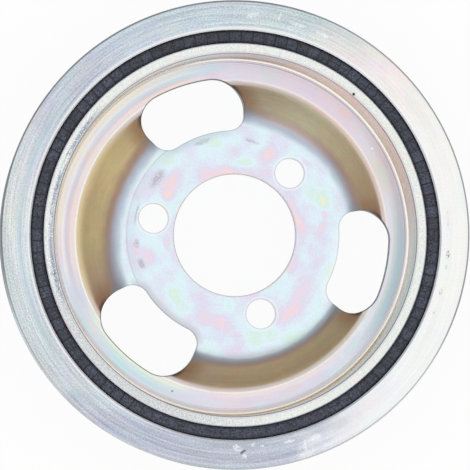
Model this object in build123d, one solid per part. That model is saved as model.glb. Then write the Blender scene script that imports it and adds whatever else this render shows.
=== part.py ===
from build123d import *
from math import cos, radians, sin, tan
import os

# Harmonic balancer of a crankshaft pulley: a drawn steel hub, a press-fitted
# rubber ring and a turned inertia ring with a ribbed-belt track.
# Millimetres. The origin is on the bore axis, in the plane of the faced seat
# around the bore. +Z points out of the dished face, which carries that seat.

# Hub, drawn from one steel blank
SHEET = 3.2                     # thickness of the blank
SEAT_FACING = 0.1               # depth turned off the flange to make the seat
FLANGE_CORNER_RADIUS = 37.4     # where the flange and the cone would meet sharp
CONE_RUN = 9.3                  # radial reach of the cone, between its two sharp corners
FLOOR_DEPTH = 16.5              # from the seat down to the floor
FLOOR_WIDTH = 8.9               # from the sharp foot of the cone to the rim wall
RIM_HEIGHT = 5.0                # from the seat up to the faced end of the rim
FLANGE_BEND = 9.0               # bend radius on the dished side, flange to cone
FOOT_BEND = 3.5                 # bend radius on the dished side, cone to floor
RIM_BEND = 1.8                  # bend radius on the dished side, floor to rim
EDGE_BREAK = 0.3                # chamfer on the faced end of the rim and on the bore

# Holes of the hub
BORE_DIAMETER = 37.5            # pilot bore over the crankshaft nose
BOLT_CIRCLE = 51.0
BOLT_HOLE_DIAMETER = 9.0        # clearance for M8
BOLT_COUNT = 3
WINDOW_COUNT = 3
WINDOW_ANGLE = 46.1             # between the two radial ends, in degrees
WINDOW_INTO_FLANGE = 5.15       # reach inwards from the flange corner
WINDOW_INTO_FLOOR = 2.5         # reach outwards from the foot of the cone
WINDOW_INNER_CORNER = 5.1
WINDOW_OUTER_CORNER = 9.0

# Rubber ring
RUBBER_THICKNESS = 4.05         # as compressed between the rim and the ring
RUBBER_RECESS = 1.2             # from the rim's end down to the rubber's edges
RUBBER_CROWN = 0.5              # bulge of the rubber's end faces
RUBBER_LENGTH = 17.0            # between the edges of its two end faces

# Inertia ring and its belt track
RING_WALL = 9.15                # from its bore to its outside
RING_WIDTH = 27.0
RING_CHAMFER = 0.5
RIB_PITCH = 3.56                # PK belt profile
GROOVE_COUNT = 6
GROOVE_ANGLE = 40.0             # included angle of each groove, in degrees
GROOVE_ROOT = 0.5               # flat at the bottom of each groove
LAND_WIDTH = 0.9                # flat tip between two grooves
TRACK_RECESS = 1.3              # from the ring's outside down to the rib tips

# Chisel mark across the front face of the ring
MARK_ANGLE = 283.5              # around the axis from +X, in degrees
MARK_TURN = 35.0                # of the mark, from the tangent, in degrees
MARK_LENGTH = 2.4
MARK_WIDTH = 0.6
MARK_DEPTH = 0.4
MARK_FROM_BORE = 3.6            # from the ring's bore to the middle of the mark

# Worked out from the sizes above
FOOT_RADIUS = FLANGE_CORNER_RADIUS + CONE_RUN
RIM_INNER_RADIUS = FOOT_RADIUS + FLOOR_WIDTH
RIM_OUTER_RADIUS = RIM_INNER_RADIUS + SHEET
RING_BORE_RADIUS = RIM_OUTER_RADIUS + RUBBER_THICKNESS
RING_OUTER_RADIUS = RING_BORE_RADIUS + RING_WALL
THROUGH = 2 * (FLOOR_DEPTH + RIM_HEIGHT + SHEET)


def across(section):
    """Stand a section drawn as (radius, height) upright and turn it about the axis."""
    return revolve(Plane.XZ * section, Axis.Z)


def hub_section():
    """Half section of the drawn blank: its dished face, and one thickness behind it."""
    dished_face = FilletPolyline(
        (BORE_DIAMETER / 2, SEAT_FACING),
        (FLANGE_CORNER_RADIUS, SEAT_FACING),
        (FOOT_RADIUS, -FLOOR_DEPTH),
        (RIM_INNER_RADIUS, -FLOOR_DEPTH),
        (RIM_INNER_RADIUS, RIM_HEIGHT),
        radius=(FLANGE_BEND, FOOT_BEND, RIM_BEND),
    )
    return make_face(offset(dished_face, amount=SHEET, side=Side.RIGHT, closed=True))


def window_outline():
    """One window seen along the axis: a ring sector with rounded corners, on +X."""
    inner_radius = FLANGE_CORNER_RADIUS - WINDOW_INTO_FLANGE
    outer_radius = FOOT_RADIUS + WINDOW_INTO_FLOOR
    half_angle = radians(WINDOW_ANGLE / 2)
    reach = 2 * outer_radius
    corner = (reach * cos(half_angle), reach * sin(half_angle))
    wedge = make_face(Polyline((0, 0), corner, (corner[0], -corner[1]), close=True))
    sector = wedge & (Circle(outer_radius) - Circle(inner_radius))
    sector = fillet(sector.vertices().sort_by_distance((0, 0))[:2], WINDOW_INNER_CORNER)
    return fillet(sector.vertices().sort_by_distance((0, 0))[-2:], WINDOW_OUTER_CORNER)


def make_hub():
    """The drawn hub: revolved, then pierced, then faced."""
    hub = across(hub_section())
    window = extrude(window_outline(), THROUGH / 2, both=True)
    hub -= PolarLocations(0, WINDOW_COUNT) * window
    first_bolt = 180 / BOLT_COUNT
    hub -= PolarLocations(BOLT_CIRCLE / 2, BOLT_COUNT, start_angle=first_bolt) * Cylinder(
        BOLT_HOLE_DIAMETER / 2, THROUGH
    )
    hub -= extrude(Circle(FLANGE_CORNER_RADIUS), SHEET)
    turned_edges = hub.edges().filter_by(GeomType.CIRCLE)
    bore_edges = turned_edges.filter_by(lambda edge: abs(edge.radius - BORE_DIAMETER / 2) < EDGE_BREAK)
    rim_edges = turned_edges.group_by(Axis.Z)[-1]
    return chamfer(bore_edges + rim_edges, EDGE_BREAK)


def make_rubber_ring():
    """The rubber between the rim and the inertia ring, bulging a little at both ends."""
    top = RIM_HEIGHT - RUBBER_RECESS
    bottom = top - RUBBER_LENGTH
    middle_radius = RIM_OUTER_RADIUS + RUBBER_THICKNESS / 2
    outline = [
        ThreePointArc(
            (RIM_OUTER_RADIUS, top),
            (middle_radius, top + RUBBER_CROWN),
            (RING_BORE_RADIUS, top),
        ),
        Line((RING_BORE_RADIUS, top), (RING_BORE_RADIUS, bottom)),
        ThreePointArc(
            (RING_BORE_RADIUS, bottom),
            (middle_radius, bottom - RUBBER_CROWN),
            (RIM_OUTER_RADIUS, bottom),
        ),
        Line((RIM_OUTER_RADIUS, bottom), (RIM_OUTER_RADIUS, top)),
    ]
    return across(make_face(outline))


def belt_track():
    """Section of what is turned away for the belt: V grooves, cut down between the lands."""
    flank_slope = tan(radians(GROOVE_ANGLE / 2))
    tip_radius = RING_OUTER_RADIUS - TRACK_RECESS
    open_radius = RING_OUTER_RADIUS + TRACK_RECESS
    root_radius = tip_radius - (RIB_PITCH - LAND_WIDTH - GROOVE_ROOT) / 2 / flank_slope
    half_root = GROOVE_ROOT / 2
    half_opening = half_root + (open_radius - root_radius) * flank_slope
    groove = make_face(
        Polyline(
            (root_radius, -half_root),
            (open_radius, -half_opening),
            (open_radius, half_opening),
            (root_radius, half_root),
            close=True,
        )
    )
    spread = (GROOVE_COUNT - 1) * RIB_PITCH
    recess = Pos((tip_radius + open_radius) / 2, 0) * Rectangle(open_radius - tip_radius, spread)
    return recess + GridLocations(0, RIB_PITCH, 1, GROOVE_COUNT) * groove


def make_inertia_ring():
    """The heavy outer ring with the belt track on its outside and the chisel mark on its face."""
    middle_radius = (RING_BORE_RADIUS + RING_OUTER_RADIUS) / 2
    middle_height = RIM_HEIGHT - RING_WIDTH / 2
    blank = Pos(middle_radius, middle_height) * Rectangle(RING_WALL, RING_WIDTH)
    blank = chamfer(blank.vertices(), RING_CHAMFER)
    ring = across(blank - Pos(0, middle_height) * belt_track())
    mark_place = (
        Rot(0, 0, MARK_ANGLE)
        * Pos(RING_BORE_RADIUS + MARK_FROM_BORE, 0, RIM_HEIGHT)
        * Rot(0, 0, MARK_TURN)
    )
    return ring - mark_place * Box(MARK_WIDTH, MARK_LENGTH, 2 * MARK_DEPTH)


os.makedirs("parts", exist_ok=True)
export_step(make_hub(), "parts/hub.step")
export_step(make_rubber_ring(), "parts/rubber_ring.step")
export_step(make_inertia_ring(), "parts/inertia_ring.step")
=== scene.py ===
import math
import random

import bpy
from mathutils import Matrix, Vector


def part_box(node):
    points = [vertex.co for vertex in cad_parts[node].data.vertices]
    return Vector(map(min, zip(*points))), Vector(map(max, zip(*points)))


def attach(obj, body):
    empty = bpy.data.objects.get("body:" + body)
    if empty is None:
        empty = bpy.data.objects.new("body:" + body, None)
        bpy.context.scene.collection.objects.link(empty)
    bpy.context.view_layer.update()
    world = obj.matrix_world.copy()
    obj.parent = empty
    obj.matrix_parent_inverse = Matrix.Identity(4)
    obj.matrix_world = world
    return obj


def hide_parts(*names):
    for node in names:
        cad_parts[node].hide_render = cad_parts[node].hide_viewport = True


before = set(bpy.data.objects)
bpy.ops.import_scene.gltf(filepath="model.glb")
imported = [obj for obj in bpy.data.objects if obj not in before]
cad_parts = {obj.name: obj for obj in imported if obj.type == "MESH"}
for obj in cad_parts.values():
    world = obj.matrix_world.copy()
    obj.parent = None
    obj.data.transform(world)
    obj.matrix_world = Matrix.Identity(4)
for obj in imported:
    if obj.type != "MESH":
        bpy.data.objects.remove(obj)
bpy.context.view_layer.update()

MM = 0.001

# The frame, in metres
RING_LOW, RING_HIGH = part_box("inertia_ring")
RUBBER_LOW, RUBBER_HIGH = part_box("rubber_ring")
RING_RADIUS = RING_HIGH.x
FRONT = RING_HIGH.z
REAR = RING_LOW.z

# The camera looks down on the dished face from a little off the axis
CAMERA_DISTANCE = 1500 * MM
CAMERA_ROLL = math.radians(11.6)        # of the picture's right, from +X, around +Z
CAMERA_LEFT = 0.0635                    # slope of the view line, towards the picture's left
CAMERA_DOWN = 0.0265                    # and towards its lower edge
RING_IN_PICTURE = 235.1 / 470           # the ring's outer radius as a share of the picture's width
SHIFT_X = -0.82 / 470
SHIFT_Y = -0.3 / 470
SENSOR = 36.0

# Sizes of the hub, in millimetres. Its seat lies at z = 0
BORE_RADIUS = 18.75
BOLT_CIRCLE_RADIUS = 25.5
BOLT_HOLE_RADIUS = 4.5
SEAT_RADIUS = 33.3                      # where the facing of the seat ends
SLOPE_TOP_RADIUS = 38.8                 # where the bend below the flange becomes the slope
FOOT_START_RADIUS = 46.9                # where the slope bends into the floor
FOOT_END_RADIUS = 48.3
FLOOR_END_RADIUS = 54.2
FLOOR_HEIGHT = -16.5
WINDOW_INNER_RADIUS = 32.25
WINDOW_OUTER_RADIUS = 49.2
WINDOW_HALF_ANGLE = math.radians(23.05)
WINDOW_INNER_CORNER = 5.1
WINDOW_OUTER_CORNER = 9.0
RIM_INNER_RADIUS = 55.6
RIM_OUTER_RADIUS = 58.8
FACE_HEIGHT = 5.0                       # of the rim's faced end and the ring's front face

# The inertia ring, in millimetres
RING_BORE_RADIUS = 62.85
RING_MIDDLE_RADIUS = 67.5
RING_OUTER_RADIUS = 72.0
MARK_ANGLE = 271.9                      # of the chisel mark, in the picture
MARK_RADIUS = 66.45

# The rubber's two end faces, in millimetres
RUBBER_CROWN = 0.5
RUBBER_EDGE_DROP = 0.35                 # how far they fall away towards their edges
RUBBER_EDGE_SHARE = 0.12                # and over which share of their width
FOLD_COUNT = 108
FOLD_DEPTHS = (0.16, 0.34)
CALM_FOLD_DEPTHS = (0.06, 0.12)         # where the picture shows hardly any folds
CALM_START = 240                        # from and to these angles in the picture
CALM_END = 305
FOLD_SEED = 7
FOLD_SAMPLES = 10                       # points around the ring for each fold
FACE_STEPS = 10                         # and steps across an end face

# Noise that runs around the axis has its true length at this radius, in millimetres
NOISE_RADIUS = 50.0

# Light and backdrop
BRIGHT_SIDE = 278                       # the horizon's brightest side, by angle in the picture
FLOOR_HALF_WIDTH = 2.0                  # in metres
FLOOR_GREY = (0.9, 0.9, 0.9, 1)
FLOOR_GLOW = 0.93                       # how much of what the camera sees of the floor is white


def tone(code):
    """A colour written as sRGB in hexadecimal, as linear light."""
    shares = [int(code[start:start + 2], 16) / 255 for start in (0, 2, 4)]
    return tuple(
        share / 12.92 if share < 0.04 else ((share + 0.055) / 1.055) ** 2.4 for share in shares
    )


class Field:
    """A number or colour that varies over a surface: the output of a shader node.

    Sums, products and the methods below add the nodes that work them out.
    """

    def __init__(self, tree, socket):
        self.tree = tree
        self.socket = socket

    def made(self, kind, *values, **settings):
        return add_node(self.tree, kind, *values, **settings)

    def math(self, operation, *values):
        return self.made("Math", *values, operation=operation)

    def __add__(self, other):
        return self.math("ADD", self, other)

    def __radd__(self, other):
        return self.math("ADD", other, self)

    def __sub__(self, other):
        return self.math("SUBTRACT", self, other)

    def __rsub__(self, other):
        return self.math("SUBTRACT", other, self)

    def __mul__(self, other):
        return self.math("MULTIPLY", self, other)

    def __rmul__(self, other):
        return self.math("MULTIPLY", other, self)

    def __truediv__(self, other):
        return self.math("DIVIDE", self, other)

    def __abs__(self):
        return self.math("ABSOLUTE", self)

    def root(self):
        return self.math("SQRT", self)

    def sine(self):
        return self.math("SINE", self)

    def cosine(self):
        return self.math("COSINE", self)

    def fraction(self):
        return self.math("FRACT", self)

    def wrapped(self, half):
        """Carried by whole turns of twice half into the range from -half to half."""
        return self.math("WRAP", self, half, -half)

    def at_least(self, other):
        return self.math("MAXIMUM", self, other)

    def at_most(self, other):
        return self.math("MINIMUM", self, other)

    def step(self, low, high):
        """0 below low and 1 above high, smooth between. low may be the larger."""
        node = self.tree.nodes.new("ShaderNodeMapRange")
        node.interpolation_type = "SMOOTHSTEP"
        start, end = (low, high) if low < high else (high, low)
        join(self.tree, self, node.inputs["Value"])
        node.inputs["From Min"].default_value = start
        node.inputs["From Max"].default_value = end
        if low > high:
            node.inputs["To Min"].default_value = 1
            node.inputs["To Max"].default_value = 0
        return Field(self.tree, node.outputs["Result"])

    def band(self, low, high, soft):
        """1 between low and high, 0 outside, with edges that many units soft."""
        return self.step(low - soft, low + soft) * self.step(high + soft, high - soft)

    def ramp(self, *stops):
        """A colour by value: stops are (value, code), the code as in tone()."""
        first, last = stops[0][0], stops[-1][0]
        node = self.tree.nodes.new("ShaderNodeValToRGB")
        elements = node.color_ramp.elements
        while len(elements) < len(stops):
            elements.new(0.5)
        for element, (value, code) in zip(elements, stops):
            element.position = (value - first) / (last - first)
            element.color = (*tone(code), 1)
        join(self.tree, (self - first) / (last - first), node.inputs["Fac"])
        return Field(self.tree, node.outputs["Color"])

    def times(self, share):
        """A colour, brighter or darker by that share."""
        node = self.tree.nodes.new("ShaderNodeVectorMath")
        node.operation = "SCALE"
        join(self.tree, self, node.inputs["Vector"])
        join(self.tree, share, node.inputs["Scale"])
        return Field(self.tree, node.outputs["Vector"])


def join(tree, value, socket):
    """Link a field into a socket, or write a plain value on it."""
    if isinstance(value, Field):
        tree.links.new(value.socket, socket)
    elif isinstance(value, tuple) and len(socket.default_value) == 4:
        socket.default_value = (*value, 1)
    else:
        socket.default_value = value


def add_node(tree, kind, *values, **settings):
    """Add a shader node with these inputs, in order, and return its first output as a field."""
    node = tree.nodes.new("ShaderNode" + kind)
    for name, value in settings.items():
        setattr(node, name, value)
    for value, socket in zip(values, node.inputs):
        join(tree, value, socket)
    return Field(tree, node.outputs[0])


def mix(share, first, second):
    """first where share is 0, second where it is 1."""
    tree = share.tree
    node = tree.nodes.new("ShaderNodeMix")
    node.data_type = "RGBA"
    join(tree, share, node.inputs["Factor"])
    colour_inputs = [socket for socket in node.inputs if socket.type == "RGBA"]
    join(tree, first, colour_inputs[0])
    join(tree, second, colour_inputs[1])
    colour_output = next(socket for socket in node.outputs if socket.type == "RGBA")
    return Field(tree, colour_output)


class Place:
    """Where a point of the surface is: polar coordinates around the axis, in mm, and its normal."""

    def __init__(self, tree):
        self.tree = tree
        coordinates = tree.nodes.new("ShaderNodeTexCoord")
        position = Field(tree, coordinates.outputs["Object"])
        normal = Field(tree, coordinates.outputs["Normal"])
        self.point = position.made("VectorMath", position, (1 / MM,) * 3, operation="MULTIPLY")
        self.x, self.y, self.z = self.split(self.point)
        self.radius = (self.x * self.x + self.y * self.y).root()
        self.angle = self.y.math("ARCTAN2", self.y, self.x)
        self.degrees = (self.angle - CAMERA_ROLL) * (180 / math.pi)
        self.facing = self.split(normal)[2]

    def split(self, vector):
        node = self.tree.nodes.new("ShaderNodeSeparateXYZ")
        join(self.tree, vector, node.inputs[0])
        return [Field(self.tree, output) for output in node.outputs]

    def around(self, along, across, height=0.0):
        """Coordinates for noise that runs around the axis, with no seam.

        along and across are the noise's cells in mm, around the axis and away from it. height
        is the share of z that counts as away from it too.
        """
        reach = NOISE_RADIUS / along
        x = self.x / self.radius * reach
        y = self.y / self.radius * reach
        return x.made("CombineXYZ", x, y, (self.radius + self.z * height) / across)

    def noise(self, vector, cell=1.0, detail=2.0, roughness=0.5, distortion=0.0):
        """Noise from 0 to 1 with cells of that size, in the units of vector."""
        node = self.tree.nodes.new("ShaderNodeTexNoise")
        join(self.tree, vector, node.inputs["Vector"])
        node.inputs["Scale"].default_value = 1 / cell
        node.inputs["Detail"].default_value = detail
        node.inputs["Roughness"].default_value = roughness
        node.inputs["Distortion"].default_value = distortion
        return Field(self.tree, node.outputs["Fac"])

    def tinted_noise(self, vector, cell):
        """Noise whose three colours vary each on its own around a half."""
        noise = self.noise(vector, cell=cell, detail=2.0, roughness=0.6)
        return Field(self.tree, noise.socket.node.outputs["Color"])

    def sector(self, start, end, soft):
        """1 between two angles of the picture, fading over that many degrees at both."""
        away = abs((self.degrees - (start + end) / 2).wrapped(180.0))
        half = (end - start) / 2
        return away.step(half + soft, half - soft)

    def swing(self, towards):
        """From 1 at that angle of the picture to -1 on the other side of the axis."""
        return (self.angle - photo_angle(towards)).cosine()

    def patch(self, angle, radius, length, width, turn=0.0):
        """1 at a place given by its angle in the picture and its radius, 0 outside an ellipse.

        length and width are its half axes in mm, and turn is the angle of the first one from
        the tangent, in degrees.
        """
        heading = photo_angle(angle) + math.radians(90 + turn)
        dx = self.x - radius * math.cos(photo_angle(angle))
        dy = self.y - radius * math.sin(photo_angle(angle))
        along = (dx * math.cos(heading) + dy * math.sin(heading)) / length
        across = (dy * math.cos(heading) - dx * math.sin(heading)) / width
        return (along * along + across * across).root().step(1.0, 0.0)

    def spot(self, angle, radius, size):
        """1 at a place given by its angle in the picture and its radius, 0 that far from it."""
        dx = self.x - radius * math.cos(photo_angle(angle))
        dy = self.y - radius * math.sin(photo_angle(angle))
        return (dx * dx + dy * dy).root().step(size, 0.0)


class Finish:
    """A new material: its node tree, the surface's coordinates and its shader."""

    def __init__(self, name, metallic):
        self.material = bpy.data.materials.new(name)
        self.material.use_nodes = True
        self.tree = self.material.node_tree
        self.shader = self.tree.nodes["Principled BSDF"]
        self.shader.inputs["Metallic"].default_value = metallic
        self.place = Place(self.tree)

    def set(self, name, value):
        join(self.tree, value, self.shader.inputs[name])

    def bump(self, height):
        """Raise the surface by a field given in mm."""
        node = self.tree.nodes.new("ShaderNodeBump")
        node.inputs["Distance"].default_value = MM
        join(self.tree, height, node.inputs["Height"])
        self.tree.links.new(node.outputs["Normal"], self.shader.inputs["Normal"])


def photo_angle(degrees):
    """An angle in the picture, counterclockwise from its right, as an angle around +Z."""
    return math.radians(degrees) + CAMERA_ROLL


def window_distance(place):
    """How far a point lies outside the nearest window, in mm, seen along the axis."""
    folded = abs(place.angle.wrapped(math.pi / 3))
    side = place.radius * (folded - WINDOW_HALF_ANGLE).sine()
    x, y = place.radius * folded.cosine(), place.radius * folded.sine()
    along = x * math.cos(WINDOW_HALF_ANGLE) + y * math.sin(WINDOW_HALF_ANGLE)
    distance = side.at_least(place.radius - WINDOW_OUTER_RADIUS)
    distance = distance.at_least(WINDOW_INNER_RADIUS - place.radius)
    for corner, from_axis, beyond in (
        (WINDOW_INNER_CORNER, WINDOW_INNER_RADIUS + WINDOW_INNER_CORNER, "LESS_THAN"),
        (WINDOW_OUTER_CORNER, WINDOW_OUTER_RADIUS - WINDOW_OUTER_CORNER, "GREATER_THAN"),
    ):
        turn = WINDOW_HALF_ANGLE - math.asin(corner / from_axis)
        dx = x - from_axis * math.cos(turn)
        dy = y - from_axis * math.sin(turn)
        tangent_point = math.sqrt(from_axis ** 2 - corner ** 2)
        rounded = along.math(beyond, along, tangent_point)
        rounded = folded.math("GREATER_THAN", folded, turn) * rounded
        distance = distance + ((dx * dx + dy * dy).root() - corner - distance) * rounded
    return distance


def bolt_hole_distance(place):
    """How far a point lies outside the nearest bolt hole, in mm, seen along the axis."""
    folded = (place.angle + math.pi / 3).wrapped(math.pi / 3)
    across = place.radius * folded.sine()
    along = place.radius * folded.cosine() - BOLT_CIRCLE_RADIUS
    return (across * across + along * along).root() - BOLT_HOLE_RADIUS


# Interference tints of the passivation, thinnest film first; the last meets the first again
FILM_TINTS = (
    (0.00, "e0f3fa"),
    (0.16, "daf0e6"),
    (0.30, "eef0d6"),
    (0.42, "f7e2ce"),
    (0.54, "f3dae4"),
    (0.72, "e2dff0"),
    (1.00, "e0f3fa"),
)
# Patches of the film on the front of the flange: angle in the picture, radius, half length and
# half width in mm, turn from the tangent in degrees, and by how much the film is thicker there
FLANGE_PATCHES = (
    (139, 25.2, 8.6, 4.0, 17, -0.42),
    (150, 23.4, 2.8, 2.4, 0, -0.28),
    (68, 26.5, 5.0, 4.0, 60, -0.28),
    (69, 31.5, 5.0, 3.4, 90, -0.26),
    (88, 18.8, 16.0, 3.8, 0, -0.34),
    (82, 22.8, 7.5, 2.6, 6, 0.26),
    (20, 28.5, 3.4, 2.4, 0, 0.16),
    (15, 19.6, 9.0, 3.4, 8, -0.32),
    (6, 27.2, 3.2, 1.7, -30, -0.34),
    (13, 28.4, 2.0, 1.3, 0, -0.34),
    (160, 23.5, 3.0, 1.6, 60, 0.30),
    (193, 27.4, 5.0, 3.0, 25, -0.30),
    (187, 30.8, 3.2, 1.5, 0, -0.32),
    (186, 21.0, 3.6, 1.7, 0, -0.34),
    (222, 26.0, 5.0, 3.2, 0, 0.22),
    (236, 26.5, 5.0, 3.4, 0, 0.20),
    (262, 26.8, 8.0, 4.4, 0, -0.24),
    (272, 31.0, 3.2, 1.9, 0, -0.30),
    (304, 29.5, 6.5, 4.2, 0, -0.30),
    (319, 28.0, 12.0, 6.4, 0, -0.29),
    (345, 19.6, 12.0, 2.8, 0, -0.34),
    (46, 31.2, 3.8, 1.3, 0, -0.28),
)
# Grey scuffs on it: angle, radius, half length, half width and turn
FLANGE_SCUFFS = (
    (109, 30.4, 4.6, 1.4, 0),
    (144, 29.4, 5.4, 2.6, 0),
    (168, 30.8, 5.2, 1.0, 0),
    (185, 30.3, 2.2, 1.5, 0),
    (197, 30.0, 2.8, 1.7, 10),
    (80, 29.4, 4.2, 1.0, -10),
)


def paint(colour, share, code):
    """The colour, covered by another one as far as share says."""
    return mix(share, colour, tone(code))


def speckled(colour, noise, amount):
    """The colour with its three parts raised and lowered a little by a tinted noise."""
    away = noise.made("VectorMath", noise, (0.5,) * 3, operation="SUBTRACT").times(amount)
    swing = away.made("VectorMath", away, (1.0,) * 3, operation="ADD")
    return colour.made("VectorMath", colour, swing, operation="MULTIPLY")


class HubPaint:
    """The fields that the parts of the hub's finish share.

    front is 1 on what faces the picture, and window the distance from the nearest window.
    """

    def __init__(self, place):
        self.place = place
        self.radius = place.radius
        self.front = place.facing.step(0.05, 0.3)
        self.window = window_distance(place)
        self.bore_edge = self.radius.step(BORE_RADIUS + 0.55, BORE_RADIUS + 0.25)
        self.blotches = place.noise(place.point, cell=3.6, detail=1.0)
        self.speckle = place.noise(place.point, cell=0.8, detail=2.0, roughness=0.7)
        self.lines = place.noise(place.around(16.0, 0.55, height=1.0), detail=3.0, roughness=0.65)
        self.drift = place.noise(place.around(12.0, 1.5), detail=2.5)
        self.grains = place.tinted_noise(place.point, cell=0.7)


def film_colour(hub):
    """The passivation on the flange, the floor and the back, with painted shade and highlight
    beside the windows and painted shade at the seat's edge.
    """
    place = hub.place
    floor = hub.radius.step(FOOT_START_RADIUS - 0.4, FOOT_END_RADIUS + 0.2) * hub.front
    clouds = place.noise(place.point, cell=11.0, detail=1.0)
    spread = (clouds - 0.5) * 1.1 + (hub.blotches - 0.5) * 0.35
    film = 0.92 + spread * (1.0 - floor * 0.35) + (hub.speckle - 0.5) * 0.2
    film = film + floor * ((hub.drift - 0.5) * 0.5 - 0.16)
    for *where, amount in FLANGE_PATCHES:
        film = film + place.patch(*where) * amount
    colour = (film + 1.0).fraction().ramp(*FILM_TINTS)
    colour = paint(colour, floor * 0.45, "e4e1ea")
    scuff = place.patch(*FLANGE_SCUFFS[0])
    for where in FLANGE_SCUFFS[1:]:
        scuff = scuff.at_least(place.patch(*where))
    broken = (hub.speckle + hub.lines).step(0.82, 1.12)
    colour = paint(colour, scuff.step(0.0, 0.8) * broken * 0.65, "a8a6ae")
    # Painted shade beside the windows on the flange, teal-grey on one side and grey on another, and
    # a near-white painted highlight on a third
    edge = hub.window.step(2.6, 0.4) * hub.radius.step(36.0, 34.0) * hub.front
    colour = paint(colour, edge * place.sector(92, 132, 10) * 0.65, "c4dade")
    colour = paint(colour, edge * place.sector(203, 256, 10) * 0.8, "cccad2")
    colour = paint(colour, edge * place.sector(322, 362, 10) * 0.5, "f6fafc")
    colour = speckled(colour, hub.grains, 0.12)
    colour = colour.times(1.0 + (hub.lines - 0.5) * 0.08 + (hub.speckle - 0.5) * 0.08)
    # Painted shade along the edge of the faced seat: a band inside it and a darker line on it, on
    # the left half only
    seat = hub.radius.step(SEAT_RADIUS + 0.4, SEAT_RADIUS - 0.1) * place.sector(95, 255, 30)
    colour = paint(colour, seat * hub.radius.step(29.0, 33.0) * 0.3, "c6cede")
    line = hub.radius.band(SEAT_RADIUS - 0.2, SEAT_RADIUS + 0.2, 0.25)
    line = line * place.sector(95, 220, 15)
    return paint(colour, line * 0.35, "b8a8b2")


# Colours of the bend below the flange, by radius: the film's tint with painted reflection and
# shade, from pale blue through grey and lavender to tan
SLOPE_TOP_TONES = (
    (34.0, "e6f2f8"),
    (35.4, "ccdae4"),
    (36.2, "bcc8d4"),
    (37.0, "b6bfcc"),
    (37.8, "b5b5c3"),
    (38.6, "b8aeb4"),
    (39.4, "bfafa8"),
    (40.8, "c8b29c"),
)
# Colours of the slope under it, by angle in the picture: the film's gold and brown with painted
# reflection and shade, which change with the angle
SLOPE_TONES = (
    (-180, "e0d4a8"),
    (-160, "cebaa0"),
    (-105, "ccbca2"),
    (-70, "d2c09e"),
    (-40, "c4b294"),
    (0, "c4b698"),
    (20, "c6b698"),
    (40, "d0ccae"),
    (58, "d4dcc2"),
    (80, "d0c8ac"),
    (132, "e8d6ac"),
    (150, "eee0b2"),
    (168, "e2d2ac"),
    (180, "e0d4a8"),
)


def paint_slope(colour, hub):
    """The drawn slope, from blue-grey at its top to gold and brown: the thick film's tint with
    painted reflection and shade, and a painted highlight on the bend at its foot.
    """
    place, radius, front = hub.place, hub.radius, hub.front
    lower = place.sector(250, 318, 30)
    shift = place.sector(45, 80, 15) * 1.0 + place.sector(140, 174, 8) * 0.45
    shift = shift - lower * 0.65 - place.sector(190, 214, 10) * 0.9
    # The radius, as the bend's colours see it: moved and stretched from place to place
    top = radius + shift - place.swing(280) * 0.35 - SLOPE_TOP_RADIUS
    top = SLOPE_TOP_RADIUS + top * (1.0 + lower)
    top = top + (hub.lines - 0.5) * 0.6 + (hub.blotches - 0.5) * 1.1
    upper = top.ramp(*SLOPE_TOP_TONES)
    # Tints of the bend by sector: painted reflection and shade
    upper = paint(upper, place.sector(45, 76, 12) * top.step(36.8, 37.8) * 0.6, "d4ccca")
    upper = paint(upper, place.sector(190, 320, 25) * top.band(37.2, 38.3, 0.5) * 0.5, "b0b4c4")
    upper = paint(upper, place.sector(130, 180, 12) * top.band(38.2, 40.6, 0.8) * 0.65, "c09c86")
    upper = paint(upper, place.sector(266, 312, 12) * top.band(37.8, 39.6, 0.6) * 0.6, "ceaba8")
    upper = paint(upper, place.sector(312, 332, 8) * top.band(37.8, 39.8, 0.6) * 0.5, "a08c90")
    # The slope's colour by angle: painted reflection and shade over the film's tint
    body = place.degrees.wrapped(180.0).ramp(*SLOPE_TONES)
    # Painted shade: the slope darker brown towards the windows
    body = paint(body, hub.window.step(7.0, 0.5) * 0.75, "ac7e60")
    body = speckled(body, hub.grains, 0.16)
    body = speckled(body, place.tinted_noise(place.around(4.0, 1.6), cell=1.0), 0.26)
    body = body.times(1.14 + (hub.lines - 0.5) * 0.30 + (hub.speckle - 0.5) * 0.18)
    slope = mix(top.step(SLOPE_TOP_RADIUS, 42.0), upper, body)
    # Painted shade beside the windows: teal-grey near the top of the slope and nearly black along
    # the windows' outer parts
    beside = hub.window.step(4.2, 0.3)
    slope = paint(slope, beside * top.band(36.0, 40.5, 1.5) * 0.6, "98a6b0")
    slope = paint(slope, hub.window.step(1.4, 0.2) * radius.step(42.5, 46.0) * 0.85, "4c4440")
    # A painted highlight on the bend at the slope's foot, cream on the left and pinkish white
    # elsewhere, and a white line of painted highlight where it meets the floor
    above_foot = radius.step(FOOT_START_RADIUS + 0.5, FOOT_START_RADIUS - 0.1)
    colour = mix(top.step(33.8, 35.8) * above_foot * front, colour, slope)
    early = place.sector(138, 204, 12) * 1.0 + place.sector(245, 335, 15) * 0.3
    foot = (radius + early).step(FOOT_START_RADIUS, FOOT_END_RADIUS)
    foot = foot * radius.step(FOOT_END_RADIUS + 0.5, FOOT_END_RADIUS + 0.1) * front
    pale = mix(place.sector(138, 204, 12), tone("fdf0ec"), tone("fbecc6"))
    colour = mix(foot, colour, pale)
    line = radius.band(FOOT_END_RADIUS, FOOT_END_RADIUS + 0.45, 0.2)
    return paint(colour, line * front * 0.95, "ffffff")


# Broad tints of the floor: from and to which angle in the picture, over how many degrees they
# fade, between which radii they set in, how strong and in which colour
FLOOR_SECTORS = (
    (-30, 36, 18, 50.5, 53.0, 0.75, "c8c0c8"),
    (38, 88, 14, 48.0, 48.5, 0.35, "e2d0dc"),
    (-35, 8, 12, 50.0, 52.0, 0.60, "a8ccd8"),
    (92, 128, 8, 50.5, 51.8, 0.50, "c4e0f2"),
    (98, 120, 8, 51.4, 50.4, 0.60, "f0dce4"),
)
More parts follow.
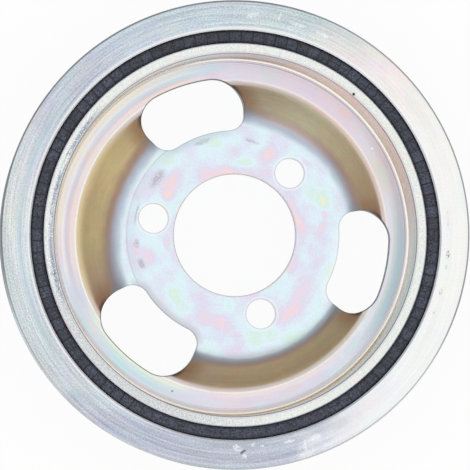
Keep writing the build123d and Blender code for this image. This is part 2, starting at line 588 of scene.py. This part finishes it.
# Lines drawn around it: from and to which angle, between which radii, how strong and in which
# colour
FLOOR_LINES = (
    (102, 198, 48.9, 50.3, 0.75, "f8dfd0"),
    (102, 198, 50.4, 51.7, 0.75, "d8ccd0"),
    (96, 148, 51.4, 52.4, 0.65, "cbe6f0"),
    (102, 198, 52.2, 52.9, 0.80, "fbf2ea"),
    (102, 182, 53.0, 54.4, 0.85, "f6ead2"),
    (196, 208, 48.9, 53.4, 0.65, "ccd6e4"),
    (210, 252, 48.9, 50.2, 0.80, "f2f4dc"),
    (210, 252, 51.6, 53.2, 0.70, "bfe4ee"),
    (205, 350, 53.4, 54.4, 0.55, "c2bdc0"),
    (266, 314, 48.9, 50.1, 0.70, "f9e6dc"),
    (-30, 12, 50.5, 51.4, 0.70, "d2d8c6"),
    (14, 34, 48.9, 51.4, 0.60, "dcdccc"),
)
# Patches of tint on it: angle, radius, half length, half width, how strong and the colour
FLOOR_TINTS = (
    (48, 52.0, 4.0, 1.8, 0.65, "f2d0c8"),
    (22, 51.2, 8.0, 2.0, 0.60, "d0dccb"),
    (77, 51.4, 6.0, 1.6, 0.60, "cce6da"),
    (62, 51.0, 5.0, 1.8, 0.50, "e2d0ea"),
    (35, 52.4, 4.5, 1.4, 0.50, "dcdce6"),
    (97, 50.4, 4.0, 1.5, 0.60, "eccee0"),
    (150, 51.0, 5.0, 1.4, 0.50, "f2d6c4"),
    (276, 51.2, 5.0, 1.6, 0.50, "e6d2e8"),
    (292, 50.8, 6.0, 1.5, 0.50, "f2d4d8"),
    (305, 51.8, 6.0, 1.5, 0.50, "d8e0f6"),
    (318, 50.6, 6.0, 1.5, 0.60, "cceae4"),
)


def paint_floor(colour, hub):
    """The flat floor of the dish, the lines drawn around it, and a line of painted shade at its
    outer edge.
    """
    place, radius, front = hub.place, hub.radius, hub.front
    floor = radius.band(49.0, FLOOR_END_RADIUS, 0.5) * front
    streaky = hub.drift.step(0.35, 0.62)
    for start, end, soft, low, high, share, code in FLOOR_SECTORS:
        sector = radius.step(low, high) * place.sector(start, end, soft)
        colour = paint(colour, floor * sector * share, code)
    colour = paint(colour, floor * place.sector(208, 252, 8) * streaky * 0.6, "c8efe2")
    for start, end, low, high, share, code in FLOOR_LINES:
        streak = radius.band(low, high, 0.3) * place.sector(start, end, 9) * front
        colour = paint(colour, streak * (0.6 + streaky * 0.4) * share, code)
    for angle, distance, length, width, share, code in FLOOR_TINTS:
        tint = place.patch(angle, distance, length, width).step(0.0, 0.75) * (0.5 + streaky * 0.5)
        colour = paint(colour, tint * floor * share, code)
    # Painted shade: a dark line in the corner where the floor meets the rim's bend, darkest at the
    # upper right and faintest at the left
    line = radius.band(FLOOR_END_RADIUS - 0.2, FLOOR_END_RADIUS + 0.15, 0.2) * front
    dark = 0.35 + place.sector(-10, 90, 15) * 0.45 - place.sector(108, 176, 10) * 0.3
    return paint(colour, line * dark, "988f96")


# Colours of the rim's inner wall, by angle in the picture: the film's tint with painted reflection
# and shade
WALL_TONES = (
    (-180, "ece6dc"),
    (-90, "e2dccf"),
    (-70, "dcd8ca"),
    (-40, "dedacc"),
    (-15, "d8dece"),
    (5, "f2dccb"),
    (20, "fadcca"),
    (55, "fad8c4"),
    (80, "d6cac2"),
    (100, "dcd6d0"),
    (120, "e6e0da"),
    (180, "ece6dc"),
)
# Colours of its faced end, by noise
RIM_END_TONES = (
    (0.3, "efeee6"),
    (0.45, "eaf1eb"),
    (0.55, "edf0ee"),
    (0.7, "f2edea"),
)


def paint_wall(colour, hub):
    """The inner wall of the rim, its tint with painted reflection and shade, and a painted
    highlight on the bend between it and the floor.
    """
    place, radius, front = hub.place, hub.radius, hub.front
    inside = radius.step(RIM_INNER_RADIUS - 1.1, RIM_INNER_RADIUS - 0.8)
    inside = inside * radius.step(RIM_INNER_RADIUS + 0.3, RIM_INNER_RADIUS + 0.1)
    inside = inside * front.at_least(place.z.step(FLOOR_HEIGHT + 0.5, FLOOR_HEIGHT + 1.5))
    wall = place.degrees.wrapped(180.0).ramp(*WALL_TONES)
    # A painted highlight low on the wall at the right, painted reflection in two bands at the lower
    # right, and painted shade along its top
    wall = paint(wall, place.z.step(-7.0, -11.0) * place.sector(-30, 66, 20), "fff6ec")
    right = place.sector(298, 368, 16)
    wall = paint(wall, place.z.band(-2.0, 2.6, 1.2) * right * 0.9, "b8d6d0")
    wall = paint(wall, place.z.band(-8.5, -5.5, 1.2) * right * 0.85, "f6eccc")
    wall = paint(wall, place.z.step(3.6, 4.6) * 0.5, "a49c9c")
    colour = mix(inside, colour, wall.times(0.92 + hub.lines * 0.16))
    # A painted highlight along the bend from the floor into the wall, whiter at the right and top
    bend_highlight = mix(place.sector(-20, 100, 20), tone("f0eadc"), tone("fffaf6"))
    bend = radius.band(RIM_INNER_RADIUS - 1.0, RIM_INNER_RADIUS - 0.2, 0.2) * front
    return mix(bend * 0.85, colour, bend_highlight)


def paint_rim_end(colour, hub):
    """The faced end of the rim: pale, greyer and more speckled at one side, pitted at another, with
    a line of painted shade along its inner edge.
    """
    place, radius = hub.place, hub.radius
    face = radius.band(RIM_INNER_RADIUS + 0.35, RIM_OUTER_RADIUS - 0.2, 0.12)
    face = face * place.z.step(FACE_HEIGHT - 0.4, FACE_HEIGHT - 0.1)
    end = hub.blotches.ramp(*RIM_END_TONES)
    # Greyer and more speckled at one side
    greyer_side = place.sector(196, 268, 18)
    end = paint(end, greyer_side * 0.8, "d3d6da")
    end = speckled(end, hub.grains, 0.07)
    dots = place.noise(place.point, cell=0.45, detail=1.0)
    end = end.times(0.97 + (hub.speckle - 0.5) * 0.3 + (dots - 0.5) * (0.4 + greyer_side * 0.55))
    colour = mix(face, colour, end)
    colour = paint(colour, face * radius.step(56.6, 56.2) * 0.4, "c4c8ca")
    pits = place.noise(place.around(1.3, 0.7), detail=3.0, roughness=0.7).step(0.55, 0.66)
    dull = place.noise(place.around(12.0, 1.4), detail=2.0)
    pitted = place.sector(140, 202, 6) * face
    narrow = radius.band(56.1, 57.2, 0.4)
    colour = paint(colour, pitted * dull.step(0.3, 0.5) * narrow * 0.9, "98a6b8")
    colour = paint(colour, pitted * pits * (0.3 + narrow * 0.65), "73829a")
    colour = paint(colour, pitted * dots.step(0.60, 0.66) * 0.9, "ffffff")
    specks = dots.step(0.64, 0.70) * radius.step(57.2, 56.2) * place.sector(20, 100, 15) * face
    colour = paint(colour, specks * 0.7, "74787f")
    # Painted shade: a dark line along the inner edge, darkest at the right
    edge = radius.band(RIM_INNER_RADIUS + 0.1, RIM_INNER_RADIUS + 0.25, 0.12)
    edge = edge * (0.5 + place.sector(-70, 40, 20) * 0.3)
    return paint(colour, edge * hub.front, "706c70")


def paint_edges(colour, hub):
    """Edges of the holes in painted shade and highlight, the sheared walls inside them, partly in
    painted shade, and a few pits and nicks.
    """
    place, radius = hub.place, hub.radius
    # Painted shade: a dark outline around each window, darker towards its outer end
    window_edge_shade = hub.window.step(0.4, 0.1) * (0.35 + radius.step(38.0, 47.0) * 0.6)
    colour = paint(colour, window_edge_shade * hub.front, "5c5c60")
    bolt_hole = bolt_hole_distance(place)
    # A painted highlight around the bolt holes and a line of painted shade at their edge
    colour = paint(colour, bolt_hole.band(0.3, 0.9, 0.25) * hub.front * 0.5, "f4f7fa")
    colour = paint(colour, bolt_hole.step(0.4, 0.1) * hub.front * 0.4, "b4a8b0")
    # A pale painted highlight at the edge of the bore
    colour = paint(colour, hub.bore_edge * hub.front * 0.8, "e8dce2")
    # The sheared walls inside the holes: those of the windows in painted shade, those of the bore
    # and bolt holes lighter grey
    sheared = abs(place.facing).step(0.25, 0.1) * radius.step(52.0, 50.0)
    inside = mix(radius.step(30.5, 31.5), tone("bcb4bc"), tone("5c5c62"))
    colour = mix(sheared, colour, inside)
    for angle, distance, size, darkness in ((50, 56.4, 0.7, 1.0), (249, 51.4, 0.5, 0.6)):
        nick = place.spot(angle, distance, size).step(0.0, 0.7) * hub.front
        colour = paint(colour, nick * darkness, "14100c")
    return paint(colour, place.spot(32, 51.8, 0.6) * hub.front * 0.9, "ffffff")


def hub_finish():
    """Zinc plating with a pale iridescent passivation over drawn steel."""
    finish = Finish("hub_zinc", metallic=1.0)
    hub = HubPaint(finish.place)
    colour = film_colour(hub)
    for paint_part in (paint_slope, paint_floor, paint_wall, paint_rim_end, paint_edges):
        colour = paint_part(colour, hub)
    # The slope, the bend into the rim and the edge of the bore shine less
    slope = hub.radius.step(34.5, 38.5) * hub.radius.step(48.6, 48.0)
    bend_start = RIM_INNER_RADIUS - 0.4 - hub.place.sector(105, 205, 15) * 0.8
    bend = (hub.radius - bend_start).step(0.0, 0.3)
    bend = bend * hub.radius.step(RIM_INNER_RADIUS + 0.4, RIM_INNER_RADIUS + 0.2)
    bend = bend * hub.place.z.step(-6.0, -11.0)
    matt = slope.at_least(bend).at_least(hub.bore_edge)
    finish.set("Base Color", colour)
    finish.set("Metallic", 1.0 - matt * 0.5)
    finish.set("Roughness", 0.20 + hub.speckle * 0.10 + matt * 0.16)
    # The drawing tool leaves a flatter band halfway up the bend
    facet = hub.radius.at_least(54.5).at_most(55.4) * -0.7
    facet = facet * hub.place.z.step(FLOOR_HEIGHT - 2.0, FLOOR_HEIGHT - 1.0)
    finish.bump(hub.lines * 0.010 + hub.speckle * 0.006 + facet)
    return finish.material


# Colours of the ring's front face, by angle in the picture: painted reflection and shade, near
# white on the right and grey-blue elsewhere, darkest towards the bottom
RING_TONES = (
    (-180, "d7dedf"),
    (-135, "ccd3d9"),
    (-118, "babfce"),
    (-92, "bbc0cc"),
    (-76, "c0c6d3"),
    (-64, "e6e6ec"),
    (-45, "f3f5f5"),
    (22, "f5f5f2"),
    (38, "f4f1ec"),
    (50, "f0e8ea"),
    (60, "e4e4e0"),
    (72, "ccd9dc"),
    (100, "c6d3db"),
    (130, "c6cdd8"),
    (150, "cad0da"),
    (168, "d9dedd"),
    (180, "d7dedf"),
)
# Bright scuffs on it: angle, radius, half length, half width and turn
RING_SCUFFS = (
    (66.5, 66.9, 3.0, 0.8, 0),
    (73.5, 67.2, 3.6, 0.7, 0),
    (78.6, 68.4, 2.2, 0.5, 80),
    (85.5, 67.6, 2.8, 1.0, 20),
    (284.5, 65.3, 2.4, 0.7, 0),
    (288.3, 68.0, 2.6, 0.5, 80),
    (291.5, 66.8, 2.6, 1.4, 0),
    (270.7, 65.5, 2.1, 1.1, 0),
    (269.8, 64.7, 1.2, 0.6, 30),
    (272.2, 67.9, 1.4, 0.9, 30),
    (274.7, 64.5, 1.1, 0.6, 30),
    (277.2, 65.2, 0.9, 0.4, 0),
)
# Dark stains on it: the same, and how dark
RING_STAINS = (
    (354.8, 65.6, 1.9, 0.9, 0, 1.0),
    (351.3, 65.5, 1.1, 0.6, 0, 0.6),
    (344.6, 65.4, 1.7, 0.8, 0, 0.7),
    (338.5, 65.4, 1.0, 0.6, 0, 0.5),
    (4.0, 65.4, 5.0, 0.5, 0, 0.3),
)


def paint_marks(colour, place, face, grain):
    """Scuffs, stains and the chisel mark on the ring's front face, with painted shade deep in the
    mark.
    """
    broken = place.noise(place.point, cell=0.6, detail=2.0).step(0.42, 0.58)
    for where in RING_SCUFFS:
        scuff = place.patch(*where).step(0.0, 0.45) * (0.3 + broken * 0.7)
        colour = paint(colour, scuff * face * 0.85, "f6f8fa")
    for *where, share in RING_STAINS:
        stain = place.patch(*where).step(0.0, 0.7) * grain.step(0.46, 0.62) * face
        colour = paint(colour, stain * share, "706f69")
    cut = place.z.band(FACE_HEIGHT - 0.5, FACE_HEIGHT - 0.06, 0.04)
    cut = cut * place.spot(MARK_ANGLE, MARK_RADIUS, 1.8).step(0.0, 0.1)
    colour = paint(colour, cut, "dcdfe6")
    # Painted shade deep in the chisel mark
    deep = cut * place.spot(MARK_ANGLE, MARK_RADIUS, 1.35).step(0.0, 0.4)
    return paint(colour, deep, "747880")


def paint_chamfers(colour, place, face):
    """The ring's two front chamfers, the outer in painted shade that fades at the bottom and the
    right, the inner and the lip beside it with a painted highlight.
    """
    radius = place.radius
    chamfer = place.facing.step(0.2, 0.4)
    # Painted shade on the outer chamfer, faint at the bottom and the right
    outer = radius.step(RING_OUTER_RADIUS - 0.65, RING_OUTER_RADIUS - 0.45) * chamfer
    faint = 1.0 - place.sector(196, 335, 10) * 0.9 - place.sector(-15, 75, 15) * 0.35
    colour = paint(colour, outer * faint * 0.7, "686c72")
    # A painted highlight on the inner chamfer, strongest from the top round to the lower left, and
    # another on the lip beside it
    inner = radius.step(RING_BORE_RADIUS + 0.65, RING_BORE_RADIUS + 0.45) * chamfer
    colour = paint(colour, inner * (0.3 + place.sector(15, 250, 20) * 0.7), "ffffff")
    lip = radius.step(RING_BORE_RADIUS + 1.35, RING_BORE_RADIUS + 0.65)
    lip = lip * face * place.sector(15, 240, 25)
    return paint(colour, lip * 0.75, "f4f6f8")


def ring_finish():
    """Fine-turned steel with a pale zinc plating."""
    finish = Finish("ring_zinc", metallic=1.0)
    place = finish.place
    lines = place.noise(place.around(30.0, 0.5, height=1.0), detail=2.0, roughness=0.6)
    strokes = place.noise(place.around(6.0, 0.6, height=1.0), detail=3.0, roughness=0.65)
    coarse = place.noise(place.around(34.0, 1.3, height=1.0), detail=3.0, roughness=0.6)
    grain = place.noise(place.point, cell=0.45, detail=1.0)
    clouds = place.noise(place.point, cell=9.0, detail=2.0, distortion=0.4)
    broad_tints = place.tinted_noise(place.around(10.0, 4.0), cell=1.0)
    fine_tints = place.tinted_noise(place.point, cell=0.7)
    face = place.facing.step(0.9, 0.97)
    # The face by angle: painted reflection and shade, wandering a little with the clouds and the
    # radius
    wander = (clouds - 0.5) * 26.0 + (place.radius - RING_MIDDLE_RADIUS) * 1.6
    painted_light_by_angle = (place.degrees + wander).wrapped(180.0).ramp(*RING_TONES)
    colour = mix(face, tone("c8cccf"), painted_light_by_angle)
    hued = place.sector(34, 250, 10)
    colour = speckled(colour, broad_tints, 0.12 + hued * 0.12)
    colour = speckled(colour, fine_tints, 0.06 + hued * 0.08)

    # The turned lines are faint on the side where the face is brightest
    worked = place.sector(62, 292, 15)
    relief = (lines - 0.5) * (0.16 + worked * 0.70) + (strokes - 0.5) * worked * 0.44
    relief = relief + (coarse - 0.5) * (0.06 + worked * 0.22)
    relief = relief + (grain - 0.5) * (0.16 + worked * 0.60)
    colour = colour.times(1.0 + relief)

    streak = place.radius.band(65.0, 67.2, 1.0) * place.sector(142, 218, 14)
    colour = paint(colour, streak * coarse.step(0.3, 0.6) * face * 0.5, "b4ccda")
    dim = place.spot(226, 70.6, 5.0) * strokes.step(0.4, 0.6) * face
    colour = paint(colour, dim * 0.6, "94a6b8")
    colour = paint_marks(colour, place, face, grain)
    colour = paint_chamfers(colour, place, face)
    finish.set("Base Color", colour)
    finish.set("Roughness", 0.24 + lines * 0.16)
    finish.bump(lines * 0.012)
    return finish.material


def rubber_finish():
    """Black rubber, its end faces folded by the press fit."""
    finish = Finish("rubber", metallic=0.0)
    place = finish.place
    dust = place.noise(place.point, cell=0.5, detail=3.0, roughness=0.75)
    patchy = place.noise(place.around(3.0, 1.6), detail=2.0)
    colour = mix(dust.step(0.38, 0.62), tone("0c0e14"), tone("525667"))
    # Painted shade: darker at the top of the ring
    colour = colour.times(1.0 - place.sector(72, 112, 20) * 0.3)
    middle = place.radius.band(RIM_OUTER_RADIUS + 0.9, RING_BORE_RADIUS - 0.65, 0.3)
    colour = paint(colour, middle * patchy.step(0.35, 0.65) * 0.4, "3e4252")
    # Painted shade near both edges of each end face, where it meets the metal
    colour = paint(colour, (1.0 - middle) * 0.35, "1a1412")
    sway = place.noise(place.around(2.4, 2.4), detail=2.0)
    turn = place.angle * (FOLD_COUNT / (2 * math.pi)) + FOLD_COUNT + 0.5 + (sway - 0.5) * 0.2
    calm = 1.0 - place.sector(CALM_START + 5, CALM_END - 5, 12) * 0.8

    # Each block between two folds has a tone of its own, and some have a crease around the axis,
    # drawn as a line of painted shade
    block = turn.math("FLOOR", turn - 0.5)
    shade, height, creased = [
        turn.made("TexWhiteNoise", block, block * factor, noise_dimensions="1D")
        for factor in (1.0, 1.37, 1.71)
    ]
    colour = colour.times(1.0 + (shade - 0.5) * calm * 0.5)
    crease = abs(place.radius - (RIM_OUTER_RADIUS + 1.5) - height * 1.1).step(0.16, 0.04)
    colour = paint(colour, crease * creased.step(0.55, 0.6) * calm * 0.6, "0a0b10")
    # The folds are drawn as dark lines of painted shade, weak where the end faces are calm
    strength = turn.made("TexWhiteNoise", turn, turn.math("FLOOR", turn), noise_dimensions="1D")
    fold = abs(turn.fraction() - 0.5).step(0.09, 0.02) * (0.5 + strength * 0.5)
    colour = paint(colour, fold * calm * 0.95, "07080b")
    colour = paint(colour, dust.step(0.70, 0.76) * 0.6, "9298a8")
    finish.set("Base Color", colour)
    finish.set("Roughness", 0.62)
    finish.bump(dust * 0.05)
    return finish.material


def fold_depths():
    """How deep each fold of the end faces is, in mm."""
    dice = random.Random(FOLD_SEED)
    depths = []
    for fold in range(FOLD_COUNT):
        at = math.degrees(2 * math.pi * fold / FOLD_COUNT - CAMERA_ROLL) % 360
        calm = CALM_START < at < CALM_END
        depths.append(dice.uniform(*(CALM_FOLD_DEPTHS if calm else FOLD_DEPTHS)))
    return depths


def depth_at(turn, depths):
    """How deep the end faces are folded at that step around the ring."""
    # Each fold is sharp, and a shallow hollow lies halfway to the next one
    fold, step = divmod(turn, FOLD_SAMPLES)
    if step == 0:
        return depths[fold]
    if step in (1, FOLD_SAMPLES - 1):
        nearest = fold if step == 1 else (fold + 1) % FOLD_COUNT
        return depths[nearest] * 0.35
    if step == FOLD_SAMPLES // 2:
        return depths[fold] * 0.3
    return 0.0


def face_rise(share, depth):
    """How high an end face stands at that share of its width, folded in by depth."""
    inwards = min(share, 1 - share)
    bulge = RUBBER_CROWN * 4 * share * (1 - share)
    edge = RUBBER_EDGE_DROP * (1 - min(1.0, inwards / RUBBER_EDGE_SHARE))
    return bulge - depth * min(1.0, 5 * inwards) - edge


def make_rubber():
    """The rubber ring with the folds that pressing it in leaves across its two end faces."""
    top = RUBBER_HIGH.z / MM - RUBBER_CROWN
    bottom = RUBBER_LOW.z / MM + RUBBER_CROWN
    width = RUBBER_HIGH.x / MM - RIM_OUTER_RADIUS
    shares = [step / FACE_STEPS for step in range(FACE_STEPS + 1)]
    section = [(share, top, 1) for share in shares]
    section += [(share, bottom, -1) for share in reversed(shares)]
    depths = fold_depths()
    turns = FOLD_COUNT * FOLD_SAMPLES
    points = []
    for turn in range(turns):
        angle = 2 * math.pi * turn / turns
        depth = depth_at(turn, depths)
        for share, level, outwards in section:
            radius = RIM_OUTER_RADIUS + width * share
            height = level + outwards * face_rise(share, depth)
            point = Vector((radius * math.cos(angle), radius * math.sin(angle), height))
            points.append(point * MM)
    around = len(section)
    faces = []
    for turn in range(turns):
        here, there = turn * around, (turn + 1) % turns * around
        for step in range(around):
            after = (step + 1) % around
            faces.append((here + step, here + after, there + after, there + step))
    mesh = bpy.data.meshes.new("rubber_pleated")
    mesh.from_pydata(points, [], faces)
    mesh.polygons.foreach_set("use_smooth", [True] * len(faces))
    piece = bpy.data.objects.new("rubber_pleated", mesh)
    bpy.context.scene.collection.objects.link(piece)
    mesh.materials.append(rubber_finish())
    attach(piece, "root")
    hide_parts("rubber_ring")


def dress(node, material):
    """Give a CAD node a material."""
    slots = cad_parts[node].data.materials
    slots.clear()
    slots.append(material)


def make_camera():
    """The camera of the photograph, which shows the ring as large and in the same place."""
    right = Vector((math.cos(CAMERA_ROLL), math.sin(CAMERA_ROLL), 0))
    up = Vector((-math.sin(CAMERA_ROLL), math.cos(CAMERA_ROLL), 0))
    to_camera = (Vector((0, 0, 1)) - right * CAMERA_LEFT - up * CAMERA_DOWN).normalized()
    side = up.cross(to_camera).normalized()
    top = to_camera.cross(side)
    place = Matrix((side, top, to_camera)).transposed().to_4x4()
    place.translation = Vector((0, 0, FRONT)) + to_camera * CAMERA_DISTANCE
    camera = bpy.data.objects.new("camera", bpy.data.cameras.new("camera"))
    camera.matrix_world = place
    camera.data.sensor_width = SENSOR
    camera.data.lens = SENSOR * CAMERA_DISTANCE * RING_IN_PICTURE / RING_RADIUS
    camera.data.shift_x = SHIFT_X
    camera.data.shift_y = SHIFT_Y
    camera.data.clip_start = 10 * MM
    bpy.context.scene.collection.objects.link(camera)
    bpy.context.scene.camera = camera


def make_world():
    """A soft white dome that greys towards the horizon, and a white backdrop to the camera."""
    world = bpy.data.worlds.new("studio")
    bpy.context.scene.world = world
    world.use_nodes = True
    tree = world.node_tree
    direction = Field(tree, tree.nodes.new("ShaderNodeTexCoord").outputs["Generated"])
    node = tree.nodes.new("ShaderNodeSeparateXYZ")
    join(tree, direction, node.inputs[0])
    east, north, height = [Field(tree, output) for output in node.outputs]
    level = (east * east + north * north).root().at_least(0.01)
    bright = photo_angle(BRIGHT_SIDE)
    along = (east * math.cos(bright) + north * math.sin(bright)) / level
    horizon = mix(along.step(0.35, 0.85), tone("c4c6d0"), tone("f4f4f6"))
    sky = mix(height.step(0.0, 0.5), horizon, tone("ffffff"))
    seen = Field(tree, tree.nodes.new("ShaderNodeLightPath").outputs["Is Camera Ray"])
    sky = mix(seen, sky, tone("ffffff"))
    join(tree, sky, tree.nodes["Background"].inputs["Color"])


def make_floor():
    """A pale floor: white to the camera and to reflections, under the object's shadow.

    It is clear from below, so that the back can be seen.
    """
    half = FLOOR_HALF_WIDTH
    mesh = bpy.data.meshes.new("floor")
    corners = [(-half, -half, REAR), (half, -half, REAR), (half, half, REAR), (-half, half, REAR)]
    mesh.from_pydata(corners, [], [(0, 1, 2, 3)])
    floor = bpy.data.objects.new("floor", mesh)
    bpy.context.scene.collection.objects.link(floor)
    material = bpy.data.materials.new("floor")
    material.use_nodes = True
    tree = material.node_tree
    shader = tree.nodes["Principled BSDF"]
    shader.inputs["Base Color"].default_value = FLOOR_GREY
    shader.inputs["Roughness"].default_value = 0.9
    shader.inputs["Specular IOR Level"].default_value = 0
    path = tree.nodes.new("ShaderNodeLightPath")
    seen = Field(tree, path.outputs["Is Camera Ray"])
    seen = seen.at_least(Field(tree, path.outputs["Is Glossy Ray"]))
    seen = seen.at_least(Field(tree, path.outputs["Is Transmission Ray"]))
    glow = tree.nodes.new("ShaderNodeEmission")
    blend = tree.nodes.new("ShaderNodeMixShader")
    join(tree, seen * FLOOR_GLOW, blend.inputs["Fac"])
    tree.links.new(shader.outputs["BSDF"], blend.inputs[1])
    tree.links.new(glow.outputs["Emission"], blend.inputs[2])
    clear = tree.nodes.new("ShaderNodeBsdfTransparent")
    side = tree.nodes.new("ShaderNodeNewGeometry")
    from_below = tree.nodes.new("ShaderNodeMixShader")
    tree.links.new(side.outputs["Backfacing"], from_below.inputs["Fac"])
    tree.links.new(blend.outputs["Shader"], from_below.inputs[1])
    tree.links.new(clear.outputs["BSDF"], from_below.inputs[2])
    tree.links.new(from_below.outputs["Shader"], tree.nodes["Material Output"].inputs["Surface"])
    mesh.materials.append(material)


dress("hub", hub_finish())
dress("inertia_ring", ring_finish())
make_rubber()
make_camera()
make_world()
make_floor()
bpy.context.scene.view_settings.view_transform = "Standard"
